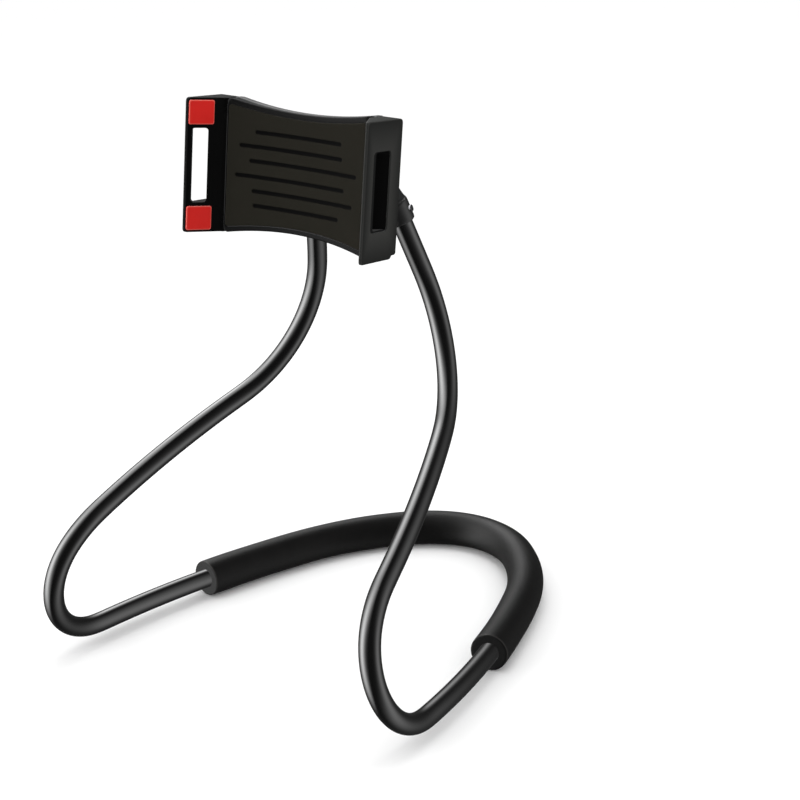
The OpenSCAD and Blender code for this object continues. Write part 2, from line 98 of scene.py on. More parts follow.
# How far the ball's middle lies behind the jaw tips
BALL_BACK = 76 * MM
# How thick a jaw is where it meets the plate and at its tip
JAW_FOOT, JAW_TIP = 25 * MM, 4 * MM
# The plate: depth of its edge, how much deeper its middle is, how far its waist draws in, and the straight
# part beside the hollow's arc and beside the waist's
DISH_EDGE, DISH_SAG, WAIST, LAND, WAIST_LAND = 36 * MM, 9 * MM, 8 * MM, 2 * MM, 5 * MM
WALL = 3 * MM
# The mat: thickness, depth of its pocket, and how far it stays from the plate's sides and from its top and
# bottom
MAT_T, MAT_SEAT, MAT_SIDE, MAT_MARGIN = 2.6 * MM, 2.08 * MM, 3 * MM, 6 * MM
SPLIT_Y = DISH_EDGE + DISH_SAG + MAT_SEAT + WALL
BODY_X = HEAD_W / 2 - JAW_FOOT
ARC_HALF = BODY_X - LAND
WAIST_HALF = BODY_X - WAIST_LAND
DISH_R = (ARC_HALF**2 + DISH_SAG**2) / (2 * DISH_SAG)
WAIST_R = (WAIST_HALF**2 + WAIST**2) / (2 * WAIST)
# Moves the four sides of a box (low, high, low, high) outwards
GROW = np.array([-1, 1, -1, 1.0])


def joint(name):
    """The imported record's joint of that name."""
    return next(j for j in frame["joints"] if j["name"] == name)


BALL = np.array(joint("ball_tilt")["pos_m"])
HEAD_X = np.array(joint("jaw_slide")["axis"])
HEAD_Y = np.array(joint("head_spin")["axis"])
HEAD_Z = np.cross(HEAD_X, HEAD_Y)


def to_row(points):
    """Points in the head's own frame, moved to the row frame."""
    p = np.asarray(points, float)
    axes = np.stack([HEAD_X, HEAD_Y, HEAD_Z])
    return BALL + (p - np.array([0, BALL_BACK, 0])) @ axes


# Meshes

def new_piece(name, points, faces, smooth_angle=35):
    """An object at the origin with its place in its mesh, shaded smooth below an edge angle."""
    mesh = bpy.data.meshes.new(name)
    mesh.from_pydata(np.asarray(points).reshape(-1, 3).tolist(), [], faces)
    mesh.validate()
    mesh.update()
    obj = bpy.data.objects.new(name, mesh)
    bpy.context.scene.collection.objects.link(obj)
    mesh.shade_smooth()
    mesh.set_sharp_from_angle(angle=math.radians(smooth_angle))
    return obj


def grid_faces(rows, cols, wrap_rows=False, wrap_cols=True, start=0):
    """Quads between neighbouring rows and columns of a grid of points."""
    r = np.arange(rows if wrap_rows else rows - 1)
    c = np.arange(cols if wrap_cols else cols - 1)
    r, c = [a.ravel() for a in np.meshgrid(r, c, indexing="ij")]
    r2, c2 = (r + 1) % rows, (c + 1) % cols
    quads = np.stack([r * cols + c, r * cols + c2, r2 * cols + c2, r2 * cols + c], 1) + start
    return quads.tolist()


def loft(name, loops, ring=False, flip=False, smooth_angle=35):
    """Skin over closed loops of equal count, each carried on to the next. With ring the last loop joins
    the first, else each end loop is closed by a fan to its middle point."""
    loops = np.asarray(loops, float)
    n, k = loops.shape[:2]
    faces = grid_faces(n, k, wrap_rows=ring)
    points = loops.reshape(-1, 3)
    if not ring:
        ends = loops[[0, -1]].mean(1)
        points = np.concatenate([points, ends])
        j = np.arange(k)
        first = np.stack([(j + 1) % k, j, np.full(k, n * k)], 1)
        last = np.stack([(n - 1) * k + j, (n - 1) * k + (j + 1) % k, np.full(k, n * k + 1)], 1)
        faces += first.tolist() + last.tolist()
    if flip:
        faces = [f[::-1] for f in faces]
    return new_piece(name, points, faces, smooth_angle)


# Materials. Colours are linear

def grey(value):
    """A colour without a tint."""
    return (value, value, value)


def material(name, colour, roughness, specular=0.5):
    """A Principled material, its nodes and its shader."""
    m = bpy.data.materials.new(name)
    m.use_nodes = True
    tree = m.node_tree
    shader = tree.nodes["Principled BSDF"]
    shader.inputs["Base Color"].default_value = (*colour, 1)
    shader.inputs["Roughness"].default_value = roughness
    shader.inputs["Specular IOR Level"].default_value = specular
    return m, tree, shader


def object_noise(tree, scale, detail, rough=0.5):
    """Noise on Object coordinates; returns its factor socket."""
    coord = tree.nodes.new("ShaderNodeTexCoord")
    noise = tree.nodes.new("ShaderNodeTexNoise")
    noise.inputs["Scale"].default_value = scale
    noise.inputs["Detail"].default_value = detail
    noise.inputs["Roughness"].default_value = rough
    tree.links.new(coord.outputs["Object"], noise.inputs["Vector"])
    return noise.outputs["Fac"]


def spread(tree, factor, low, high):
    """Maps a 0 to 1 factor onto a range of values."""
    node = tree.nodes.new("ShaderNodeMapRange")
    node.inputs["To Min"].default_value = low
    node.inputs["To Max"].default_value = high
    tree.links.new(factor, node.inputs["Value"])
    return node.outputs["Result"]


def tint(tree, factor, dark, light):
    """Mixes two colours by a factor."""
    node = tree.nodes.new("ShaderNodeMix")
    node.data_type = "RGBA"
    node.inputs["A"].default_value = (*dark, 1)
    node.inputs["B"].default_value = (*light, 1)
    tree.links.new(factor, node.inputs["Factor"])
    return node.outputs["Result"]


def painted(tree, shader, factor, dark, light, marks):
    """Base colour from a factor between two colours. Each mark, a mesh attribute with a colour, takes over
    where the attribute is 1."""
    colour = tint(tree, factor, dark, light)
    for attribute, marked in marks:
        node = tree.nodes.new("ShaderNodeAttribute")
        node.attribute_name = attribute
        mix = tree.nodes.new("ShaderNodeMix")
        mix.data_type = "RGBA"
        tree.links.new(node.outputs["Fac"], mix.inputs["Factor"])
        tree.links.new(colour, mix.inputs["A"])
        mix.inputs["B"].default_value = (*marked, 1)
        colour = mix.outputs["Result"]
    tree.links.new(colour, shader.inputs["Base Color"])


def mark(obj, name, values):
    """Stores a number at every vertex of a piece, for its material to read."""
    layer = obj.data.attributes.new(name, "FLOAT", "POINT")
    layer.data.foreach_set("value", np.asarray(values, np.float32).ravel())


def bump(tree, shader, factor, strength, distance):
    """Bump from a factor, on the shader's normal."""
    node = tree.nodes.new("ShaderNodeBump")
    node.inputs["Strength"].default_value = strength
    node.inputs["Distance"].default_value = distance
    tree.links.new(factor, node.inputs["Height"])
    tree.links.new(node.outputs["Normal"], shader.inputs["Normal"])


def sheath_finish():
    """Satin-gloss black plastic sheath: soft wide highlights, faint rubbed patches."""
    m, tree, shader = material("sheath_black", grey(0.002), 0.16)
    patches = object_noise(tree, 38, 4)
    tree.links.new(spread(tree, patches, 0.12, 0.19), shader.inputs["Roughness"])
    bump(tree, shader, object_noise(tree, 1400, 2), 0.06, 0.2 * MM)
    return m


def foam_finish():
    """Closed-cell foam with a soft skin: fine pores, matte, a little sheen at grazing angles, a painted
    highlight on the rounded edge round each end, and black on the cut faces."""
    m, tree, shader = material("foam_black", grey(0.006), 0.4, 0.06)
    shader.inputs["Sheen Weight"].default_value = 0.006
    shader.inputs["Sheen Roughness"].default_value = 0.4
    # The pale mark colour is a painted highlight on the rounded edges of the cut ends
    painted(tree, shader, object_noise(tree, 60, 5, 0.6), grey(0.004), (0.007, 0.0068, 0.0065),
            [("painted_highlight", (0.035, 0.034, 0.033)), ("cut", grey(0.0005))])
    bump(tree, shader, object_noise(tree, 2200, 3, 0.7), 0.35, 0.4 * MM)
    return m


def moulded_finish(name, dark, light, roughness, shine, painted_highlight=grey(0.02), grain=1500):
    """Fine-textured moulded plastic, with painted shade inside its windows and painted highlights along its
    edges.
    """
    m, tree, shader = material(name, light, roughness, shine)
    cloud = object_noise(tree, 30, 4)
    # Painted highlight along marked edges, and painted shade (black) inside openings
    painted(tree, shader, cloud, dark, light, [("painted_highlight", painted_highlight), ("inside", grey(0.001))])
    tree.links.new(spread(tree, cloud, roughness - 0.06, roughness + 0.06), shader.inputs["Roughness"])
    bump(tree, shader, object_noise(tree, grain, 2, 0.6), 0.22, 0.3 * MM)
    return m


def mat_finish():
    """Brownish black rubber, with painted shade in its grooves."""
    m, tree, shader = material("mat_rubber", (0.0155, 0.0146, 0.0114), 0.7, 0.012)
    # The groove mark colour is painted shade
    painted(tree, shader, object_noise(tree, 30, 4), (0.0138, 0.013, 0.0101), (0.0172, 0.0162, 0.0127),
            [("groove", grey(0.001))])
    bump(tree, shader, object_noise(tree, 2600, 2, 0.6), 0.22, 0.3 * MM)
    return m


def metal_finish(name, colour, roughness):
    """Plated steel with fine turning marks."""
    m, tree, shader = material(name, colour, roughness)
    shader.inputs["Metallic"].default_value = 1
    marks = object_noise(tree, 700, 3)
    tree.links.new(spread(tree, marks, roughness - 0.08, roughness + 0.1), shader.inputs["Roughness"])
    bump(tree, shader, marks, 0.06, 0.2 * MM)
    return m


FINISH = {
    "tube_sheath": sheath_finish(),
    "foam": foam_finish(),
    "core_wire": metal_finish("core_wire", (0.6, 0.6, 0.62), 0.4),
    "zinc_steel": metal_finish("zinc_steel", (0.5, 0.5, 0.52), 0.32),
    "spring_wire": metal_finish("spring_wire", (0.6, 0.6, 0.62), 0.28),
    "black_screw": metal_finish("black_screw", (0.09, 0.09, 0.095), 0.34),
    "black_shell": moulded_finish("black_shell", grey(0.0015), grey(0.003), roughness=0.4, shine=0.02,
                                  painted_highlight=grey(0.01)),
    "jaw_shell": moulded_finish("jaw_shell", (0.0145, 0.015, 0.0142), (0.0185, 0.019, 0.0183),
                                roughness=0.5, shine=0.02, painted_highlight=(0.04, 0.04, 0.038)),
    # rear_moulding is a lighter, shinier copy of the black shell's plastic for the pieces behind the clamp,
    # which get less light: its lighter colour is painted light
    "rear_moulding": moulded_finish("rear_moulding", grey(0.006), grey(0.011), roughness=0.36, shine=0.28),
    "nylon_liner": moulded_finish("nylon_liner", (0.5, 0.5, 0.47), (0.6, 0.6, 0.57), roughness=0.45,
                                  shine=0.3),
    "mat_rubber": mat_finish(),
    "red_pad": moulded_finish("red_pad", (0.57, 0.009, 0.006), (0.67, 0.012, 0.008), roughness=0.45,
                              shine=0.2, painted_highlight=(0.72, 0.13, 0.1), grain=2600),
}


def coated(obj, slot_name):
    """Puts a finish on an object. Reflections leave the object out, so that highlights run unbroken along the
    tubes."""
    obj.data.materials.clear()
    obj.data.materials.append(FINISH[slot_name])
    obj.visible_glossy = False


def finish_as(obj, slot_name, body):
    """Gives a new piece its finish and the body it rides on."""
    coated(obj, slot_name)
    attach(obj, body)
    return obj


# Gooseneck route

def turn_y(a):
    """Turns a frame about its Y axis by degrees."""
    a = math.radians(a)
    m = np.eye(4)
    m[0, 0] = m[2, 2] = math.cos(a)
    m[0, 2], m[2, 0] = math.sin(a), -math.sin(a)
    return m


def turn_z(a):
    """Turns a frame about its Z axis by degrees."""
    a = math.radians(a)
    m = np.eye(4)
    m[0, 0] = m[1, 1] = math.cos(a)
    m[0, 1], m[1, 0] = -math.sin(a), math.sin(a)
    return m


def shift(x, y, z):
    """Moves a frame along its own axes."""
    m = np.eye(4)
    m[:3, 3] = x, y, z
    return m


def run_points(start, run):
    """Points along one run from a frame whose Y is the heading: an arc towards the frame's X, or a
    straight. Returns the points and the end frame."""
    turn, radius, amount = run
    base = start @ turn_y(turn)
    radius = radius * MM
    length = amount * MM if radius == 0 else radius * math.radians(amount)
    t = np.linspace(0, 1, max(2, int(length / RING_GAP)) + 1)
    if radius == 0:
        local = np.stack([0 * t, t * length, 0 * t, 1 + 0 * t])
        end = base @ shift(0, length, 0)
    else:
        a = t * math.radians(amount)
        local = np.stack([radius * (1 - np.cos(a)), radius * np.sin(a), 0 * a, 1 + 0 * a])
        end = base @ shift(radius, 0, 0) @ turn_z(-amount) @ shift(-radius, 0, 0)
    return (base @ local)[:3].T, end


def route(runs):
    """The right half of the gooseneck, from the nape along the given runs."""
    here = shift(0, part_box("foam_sleeve")[1].y - FOAM_R, FOAM_R) @ turn_z(-90)
    pieces = []
    for run in runs:
        points, here = run_points(here, run)
        pieces.append(points[:-1])
    return np.concatenate([*pieces, points[-1:]])


def evenly(points):
    """The same line with points an even distance apart."""
    s = np.r_[0, np.cumsum(np.linalg.norm(np.diff(points, axis=0), axis=1))]
    t = np.linspace(0, s[-1], int(round(s[-1] / RING_GAP)) + 1)
    return np.stack([np.interp(t, s, points[:, k]) for k in range(3)], 1)


def eased(points):
    """The line averaged over a bell-shaped window, exp(-(distance / EASE)^2 / 2), so that one bend runs into
    the next. Past each end the line is mirrored through that end, which keeps the ends where they are."""
    reach = int(BELL_REACH * EASE / RING_GAP)
    k = np.arange(-reach, reach + 1)
    bell = np.exp(-0.5 * (k * RING_GAP / EASE) ** 2)
    bell /= bell.sum()
    ahead = 2 * points[0] - points[1:reach + 1][::-1]
    after = 2 * points[-1] - points[-reach - 1:-1][::-1]
    longer = np.concatenate([ahead, points, after])
    return np.stack([np.convolve(longer[:, axis], bell, "valid") for axis in range(3)], 1)


def both_halves(points):
    """The mirrored half back to the nape, then the right half."""
    return np.concatenate([points[:0:-1] * [-1, 1, 1], points])


def carried_frames(points):
    """Headings along a line, with two cross directions carried along it without twist."""
    heading = np.gradient(points, axis=0)
    heading /= np.linalg.norm(heading, axis=1, keepdims=True)
    side = np.zeros_like(points)
    first = np.cross(heading[0], [0, 0, 1])
    side[0] = first / np.linalg.norm(first)
    for i in range(1, len(points)):
        v = side[i - 1] - heading[i] * (side[i - 1] @ heading[i])
        side[i] = v / np.linalg.norm(v)
    return heading, side, np.cross(heading, side)


def sweep_rings(points, radii, sides):
    """Rings round a line: centre + radius (cos a side + sin a up)."""
    _, side, up = carried_frames(points)
    a = np.linspace(0, TAU, sides, endpoint=False)
    radii = np.broadcast_to(np.asarray(radii, float), (len(points),))
    round_part = np.cos(a)[None, :, None] * side[:, None] + np.sin(a)[None, :, None] * up[:, None]
    return points[:, None] + radii[:, None, None] * round_part


neck_line = eased(evenly(both_halves(route(FOAM_RUNS + FRONT_RUNS + ARM_RUNS))))


def gooseneck_sheath():
    """One smooth tube from yoke to yoke, bent at the two front turns: circles of the tube's radius along the
    neck line."""
    return loft("gooseneck_sheath", sweep_rings(neck_line, TUBE_R, SHEATH_SIDES))


def gooseneck_core():
    """The bendable wire inside the sheath: circles of the wire's radius along the same line."""
    return loft("gooseneck_core", sweep_rings(neck_line[1:-1], CORE_R, CORE_SIDES))


sheath = gooseneck_sheath()
core = gooseneck_core()
for obj, slot_name in ((sheath, "tube_sheath"), (core, "core_wire")):
    coated(obj, slot_name)
    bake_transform(obj)
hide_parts("loop_sheath", "arm_sheath_left", "arm_sheath_right")
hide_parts("loop_core", "arm_core_left", "arm_core_right")


# Swells of the foam: share of its radius, radians of a sine along half the sleeve, and where the sine starts
FOAM_SWELLS = ((0.006, 9, 0), (0.004, 23, 1))
EDGE_RINGS, FACE_RINGS = 5, 4


def foam():
    """Foam tube carried along the loop: out over the skin, round each cut end's small edge and back through
    the bore. With s from -1 to 1 along it, its radius is FOAM_R times 1 less the sum, over its swells, of
    share (1 + sin(rate s + phase))."""
    line = eased(evenly(both_halves(route(FOAM_RUNS))))
    s = np.linspace(-1, 1, len(line))
    radius = FOAM_R * (1 - sum(share * (1 + np.sin(rate * s + phase)) for share, rate, phase in FOAM_SWELLS))
    skin = sweep_rings(line, radius, FOAM_SIDES)
    bore = sweep_rings(line, FOAM_BORE, FOAM_SIDES)
    heading = carried_frames(line)[0]

    def cut_end(end, outwards):
        """Rings over a cut end, from the skin to the bore: a quarter round edge, then a flat face."""
        a = np.linspace(0, math.pi / 2, EDGE_RINGS + 1)[1:]
        flat = np.linspace(radius[end] - FOAM_EDGE, FOAM_BORE, FACE_RINGS + 1)[1:]
        radii = np.r_[radius[end] - FOAM_EDGE * (1 - np.cos(a)), flat]
        push = np.r_[FOAM_EDGE * np.sin(a), np.full(FACE_RINGS, FOAM_EDGE)] - FOAM_EDGE
        spokes = skin[end] - line[end]
        spokes = spokes / np.linalg.norm(spokes, axis=1, keepdims=True)
        return line[end] + radii[:, None, None] * spokes + outwards * push[:, None, None] * heading[end]

    loops = np.concatenate([skin[1:-1], cut_end(-1, 1), bore[-2:0:-1], cut_end(0, -1)[::-1]])
    obj = loft("foam_sleeve_soft", loops, ring=True, smooth_angle=50)
    skin_rings = len(line) - 2
    cut = np.zeros(len(loops))
    cut[skin_rings + EDGE_RINGS - 1:1 - EDGE_RINGS] = 1
    mark(obj, "cut", np.repeat(cut, FOAM_SIDES))
    # Painted highlight: the first rings round each rounded cut edge are painted pale
    painted_highlight = np.zeros(len(loops))
    painted_highlight[skin_rings:skin_rings + 3] = painted_highlight[-3:] = 0.4, 1, 0.4
    mark(obj, "painted_highlight", np.repeat(painted_highlight, FOAM_SIDES))
    return obj


sleeve = foam()
finish_as(sleeve, "foam", "base")
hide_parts("foam_sleeve")


# Loops for the clamp's shells

SIDE_POINTS, CORNER_POINTS = 40, 8


def rounded_rect(lo_a, hi_a, lo_b, hi_b, r):
    """Closed loop round a rectangle with rounded corners, as (a, b) pairs: each side is an even run of
    points and each corner a quarter circle, anticlockwise from the corner at high a and low b."""
    q = np.linspace(0, math.pi / 2, CORNER_POINTS + 1)
    t = np.linspace(0, 1, SIDE_POINTS, endpoint=False)[1:]
    ca, cb = np.array([lo_a + r, hi_a - r]), np.array([lo_b + r, hi_b - r])
    corners = [(ca[1], cb[0], -math.pi / 2), (ca[1], cb[1], 0), (ca[0], cb[1], math.pi / 2),
               (ca[0], cb[0], math.pi)]
    out = []
    for i, (a, b, first) in enumerate(corners):
        arc = np.stack([a + r * np.cos(q + first), b + r * np.sin(q + first)], 1)
        next_a, next_b, next_first = corners[(i + 1) % 4]
        side_end = np.array([next_a + r * math.cos(next_first), next_b + r * math.sin(next_first)])
        out += [arc, arc[-1] + t[:, None] * (side_end - arc[-1])]
    return np.concatenate(out)


def dish(x):
    """Depth of the plate's hollow front at a distance across: an arc between two flat lands."""
    c = np.sqrt(np.maximum(DISH_R**2 - np.minimum(np.abs(x), ARC_HALF) ** 2, 0))
    return DISH_EDGE + DISH_SAG - DISH_R + c


def waist_drop(x):
    """How far the plate's edge is drawn in at a distance across."""
    c = np.sqrt(WAIST_R**2 - np.minimum(np.abs(x), WAIST_HALF) ** 2)
    return c - (WAIST_R - WAIST)


def plate_loop(inset_x, inset_z, r, y):
    """A loop round the plate, drawn in at the waist, at a depth that may follow the hollow front."""
    ab = rounded_rect(inset_x - BODY_X, BODY_X - inset_x, inset_z - HEAD_H / 2, HEAD_H / 2 - inset_z, r)
    x, z = ab.T
    z = z * (1 - waist_drop(x) / (HEAD_H / 2))
    depth = y(x) if callable(y) else np.full_like(x, y)
    return np.stack([x, depth, z], 1)


def shrunk(loop, share, y):
    """The loop drawn towards its middle by a share, with its depth worked out again."""
    p = loop * [share, 1, share]
    p[:, 1] = y(p[:, 0])
    return p


def quarter(n):
    """Sine and cosine at n even places of a quarter turn, both ends included."""
    a = np.linspace(0, math.pi / 2, n)
    return list(zip(np.sin(a), np.cos(a)))


def slab(name, front, back, smooth_angle):
    """A closed sheet between two grids of the same shape, with its border joined all round."""
    rows, cols = front.shape[:2]
    n = rows * cols
    i = np.arange(n).reshape(rows, cols)
    edge = np.r_[i[0, :-1], i[:-1, -1], i[-1, :0:-1], i[:0:-1, 0]]
    faces = [f[::-1] for f in grid_faces(rows, cols, wrap_cols=False)]
    faces += grid_faces(rows, cols, wrap_cols=False, start=n)
    after = np.roll(edge, -1)
    faces += np.stack([edge, after, after + n, edge + n], 1).tolist()
    return new_piece(name, np.concatenate([front.reshape(-1, 3), back.reshape(-1, 3)]), faces, smooth_angle)


# Front shell and its mat

# Clearance round the mat and behind it, and how far the deepest place of the plate's back stays in front of
# the parting line
MAT_FIT, PARTING_CLEAR = 0.1 * MM, 0.15 * MM
# Corner radii of the mat, its pocket and the hollow behind, and of the plate
MAT_ROUND, PLATE_ROUND = 4 * MM, 5 * MM
# Edge radii of the pocket and the plate
POCKET_LIP, PLATE_EDGE = 0.5 * MM, 2.2 * MM
# How far the edge wall draws in at the parting line, over what depth, and how far behind the hollow's deepest
# place one more loop stands on that wall
PARTING_IN, PARTING_RUN, WALL_LOOP = 0.5 * MM, 0.6 * MM, 2.5 * MM
# Innermost and outermost loops within a face's outline, as shares of it; a fan closes the innermost
MIDDLE, NEAR_RIM = 0.04, 0.97


def front_shell():
    """The hollow plate: from the middle of its pocket out over the rim, back along the edge to the parting
    line, and inside again to the middle. Every loop follows the waist, and the front ones the dish."""
    def pocket(x):
        """Depth of the pocket's floor at a distance across."""
        return dish(x) + MAT_SEAT + MAT_FIT

    def inner_face(x):
        """Depth of the plate's back at a distance across."""
        return dish(x) + MAT_SEAT + WALL - PARTING_CLEAR

    side, margin = MAT_SIDE - MAT_FIT, MAT_MARGIN - MAT_FIT
    floor = plate_loop(side, margin, MAT_ROUND, pocket)
    loops = [shrunk(floor, share, pocket) for share in np.linspace(MIDDLE, NEAR_RIM, 14)] + [floor]
    for s, c in quarter(4):
        out = POCKET_LIP * (1 - c)
        loops.append(plate_loop(side - out, margin - out, MAT_ROUND,
                                lambda x, s=s: dish(x) + POCKET_LIP * (1 - s)))
    for s, c in quarter(7):
        inset = PLATE_EDGE * (1 - s)
        loops.append(plate_loop(inset, inset, PLATE_ROUND, lambda x, c=c: dish(x) + PLATE_EDGE * (1 - c)))
    for y in (DISH_EDGE + DISH_SAG + WALL_LOOP, SPLIT_Y - PARTING_RUN):
        loops.append(plate_loop(0, 0, PLATE_ROUND, y))
    loops.append(plate_loop(PARTING_IN, PARTING_IN, PLATE_ROUND, SPLIT_Y))
    loops.append(plate_loop(WALL, WALL, MAT_ROUND, SPLIT_Y))
    inner = plate_loop(WALL, WALL, MAT_ROUND, inner_face)
    loops += [inner] + [shrunk(inner, share, inner_face) for share in np.linspace(NEAR_RIM, MIDDLE, 10)]
    return loft("front_shell_dished", [to_row(p) for p in loops], flip=True, smooth_angle=40)


# Grooves: middle across, middle up, half length, in mm
GROOVES = [(0, 38, 52), (-8, 23, 62), (8, 8, 66), (-8, -8, 66), (8, -23, 62), (0, -38, 52)]
# Half width and depth of a groove, and how many times steeper than a straight slope its sides are
GROOVE_R, GROOVE_DEEP, GROOVE_STEEP = 2.7 * MM, 0.95 * MM, 2.2
# A groove's painted shade is the first number times its share of the depth, less the second, from 0 to 1
GROOVE_SHADE_GAIN, GROOVE_SHADE_OFFSET = 1.6, 0.3
# The grid: its columns, which crowd a little towards the sides, and its rows
MAT_COLUMNS, MAT_CROWDING, MAT_ROWS = 241, 0.07, 175
MAT_BORDER = 0.8 * MM


def grip_mat():
    """Rubber mat: a fine grid over its outline, whose top and bottom follow the waist and round off at the
    corners. Each point is set back where a groove passes, by the groove's depth times w^2 (3 - 2 w), where w
    climbs from 0 at the groove's side to 1 at its floor. A groove is a level line with round ends, and the
    border falls away as a quarter round."""
    half_w = BODY_X - MAT_SIDE
    even = np.linspace(-1, 1, MAT_COLUMNS)
    x = half_w * ((1 - MAT_CROWDING) * even + MAT_CROWDING * np.sin(even * math.pi / 2))
    over = np.clip(np.abs(x) - (half_w - MAT_ROUND), 0, MAT_ROUND)
    top = HEAD_H / 2 - MAT_MARGIN - waist_drop(x) - (MAT_ROUND - np.sqrt(MAT_ROUND**2 - over**2))
    across, share = np.meshgrid(x, np.linspace(-1, 1, MAT_ROWS), indexing="ij")
    up = share * top[:, None]
    drop = np.zeros_like(across)
    for groove_x, groove_z, half in np.array(GROOVES) * MM:
        away = np.hypot(np.maximum(np.abs(across - groove_x) - half, 0), up - groove_z)
        w = np.clip(GROOVE_STEEP * (1 - away / GROOVE_R), 0, 1)
        drop = np.maximum(drop, GROOVE_DEEP * w**2 * (3 - 2 * w))
    border = np.minimum(top[:, None] - np.abs(up), half_w - np.abs(across))
    near_border = np.clip(1 - border / MAT_BORDER, 0, 1)
    over_edge = MAT_BORDER * (1 - np.sqrt(1 - near_border**2))
    face = dish(across) - (MAT_T - MAT_SEAT)
    front = np.stack([across, face + drop + over_edge, up], -1)
    back = np.stack([across, dish(across) + MAT_SEAT, up], -1)
    obj = slab("grip_mat_grooved", to_row(front), to_row(back), smooth_angle=60)
    # Painted shade in the grooves, by their depth
    groove_shade = np.clip(GROOVE_SHADE_GAIN * drop / GROOVE_DEEP - GROOVE_SHADE_OFFSET, 0, 1)
    mark(obj, "groove", np.concatenate([groove_shade.ravel(), np.zeros(drop.size)]))
    return obj


# Jaws

# Windows: half height, corner and edge radii. Jaws: corner and edge radii, and the rings across an inner face
WINDOW_HALF, WINDOW_ROUND, WINDOW_EDGE = 38.5 * MM, 3 * MM, 0.6 * MM
JAW_ROUND, JAW_EDGE, ACROSS_RINGS = 3.5 * MM, 1.5 * MM, 13
# Recess in the sliding jaw's outer face: from and to behind the tip, half height, depth, and the rings up its
# wall and over its rim, each with how far it is moved out, how deep it lies and its corner radius, in mm
RECESS_FROM, RECESS_TO, RECESS_HALF, RECESS_DEEP = 12 * MM, 41.8 * MM, 40 * MM, 2 * MM
RECESS_RIM = ((0, 2, 4.5), (0, 0.5, 4.5), (0.15, 0.15, 4.6), (0.5, 0, 4.9))
# Step in the sliding jaw's lower edge: where it starts behind the tip, over what run, how far it rises, and
# the height below which the jaw takes part
HEEL_FROM, HEEL_RUN, HEEL_RISE, HEEL_BELOW = 49.5 * MM, 3 * MM, 3.5 * MM, -60 * MM
# How strongly each ring round an outer edge is painted pale, as a painted highlight
EDGE_HIGHLIGHT = (0, 0, 0.3, 0.8, 0.3, 0)


def flare(y):
    """How far out a jaw's inner face lies at a depth behind its tip."""
    return HEAD_W / 2 - JAW_TIP - (JAW_FOOT - JAW_TIP) * y / DISH_EDGE


def jaw(name, mirrored, inner_side, window_in, window_out, recess=False, heel=False):
    """A jaw as a ring of rounded rectangles: out of its window over the outer face, round its edges, over
    the flared inner face and back through the window. Each ring has two marks: its painted shade, black
    inside an opening, and its painted highlight, pale along an edge."""
    outer_x = HEAD_W / 2
    full = np.array([0, HEAD_T, -HEAD_H / 2, HEAD_H / 2])
    hole_out = np.array([*window_out, -WINDOW_HALF, WINDOW_HALF])
    hole_in = np.array([*window_in, -WINDOW_HALF, WINDOW_HALF])
    rings = []

    def add(box, r, depth, black=0, highlit=0):
        """Adds a ring; depth is how far out it lies, one number or a function of the distance behind the
        tip. With a heel, points low down rise by HEEL_RISE s^2 (3 - 2 s) as s goes from 0 to 1 along it."""
        y, z = rounded_rect(*box, r).T
        if heel:
            s = np.clip((y - HEEL_FROM) / HEEL_RUN, 0, 1)
            low = np.clip((HEEL_BELOW - z) / (HEAD_H / 2 + HEEL_BELOW), 0, 1)
            z = z + HEEL_RISE * s**2 * (3 - 2 * s) * low
        x = depth(y) if callable(depth) else np.full_like(y, depth)
        rings.append((np.stack([-x if mirrored else x, y, z], 1), black, highlit))

    face = outer_x - RECESS_DEEP if recess else outer_x
    # Painted shade: rings at the outer window's lip are marked black; on the sliding jaw the black runs on,
    # fading, over the recess floor
    for (s, c), black in zip(quarter(4), (1, 1, 0.9, 0.7) if recess else (1, 1, 0, 0)):
        add(hole_out + GROW * WINDOW_EDGE * s, WINDOW_ROUND, face - WINDOW_EDGE * c, black=black)
    if recess:
        step = np.array([RECESS_FROM, RECESS_TO, -RECESS_HALF, RECESS_HALF])
        # Painted highlight on the recess rim's outer rings
        for (out, sunk, r), highlit in zip(np.array(RECESS_RIM) * MM, (0, 0, 0.9, 0.9)):
            add(step + GROW * out, r, outer_x - sunk, highlit=highlit)
    # Painted highlight: the middle rings round each outer edge, on both faces, are painted pale
    for (s, c), highlit in zip(quarter(6), EDGE_HIGHLIGHT):
        add(full - GROW * JAW_EDGE * (1 - s), JAW_ROUND, outer_x - JAW_EDGE * (1 - c), highlit=highlit)
    for (s, c), highlit in zip(quarter(6)[::-1], EDGE_HIGHLIGHT[::-1]):
        add(full - GROW * JAW_EDGE * (1 - s), JAW_ROUND, lambda y, c=c: inner_side(y) + JAW_EDGE * (1 - c),
            highlit=highlit)
    start, end = full - GROW * JAW_EDGE, hole_in + GROW * WINDOW_EDGE
    for t in np.linspace(0, 1, ACROSS_RINGS + 1)[1:]:
        add(start + (end - start) * t, JAW_ROUND + (WINDOW_ROUND - JAW_ROUND) * t, inner_side)
    # Painted shade: the last ring at the inner window's lip is marked black
    for (s, c), black in zip(quarter(4)[::-1][1:], (0, 0, 1)):
        add(hole_in + GROW * WINDOW_EDGE * s, WINDOW_ROUND, lambda y, c=c: inner_side(y) + WINDOW_EDGE * c,
            black=black)

    loops, shaded_rings, highlit_rings = zip(*rings)
    obj = loft(name, [to_row(p) for p in loops], ring=True, flip=not mirrored, smooth_angle=40)
    mark(obj, "inside", np.repeat(shaded_rings, len(loops[0])))
    mark(obj, "painted_highlight", np.repeat(highlit_rings, len(loops[0])))
    return obj


# The fixed jaw reaches this far inside the plate's edge, back to this far behind the parting line
TUCK, TUCK_END = 2 * MM, 0.5 * MM


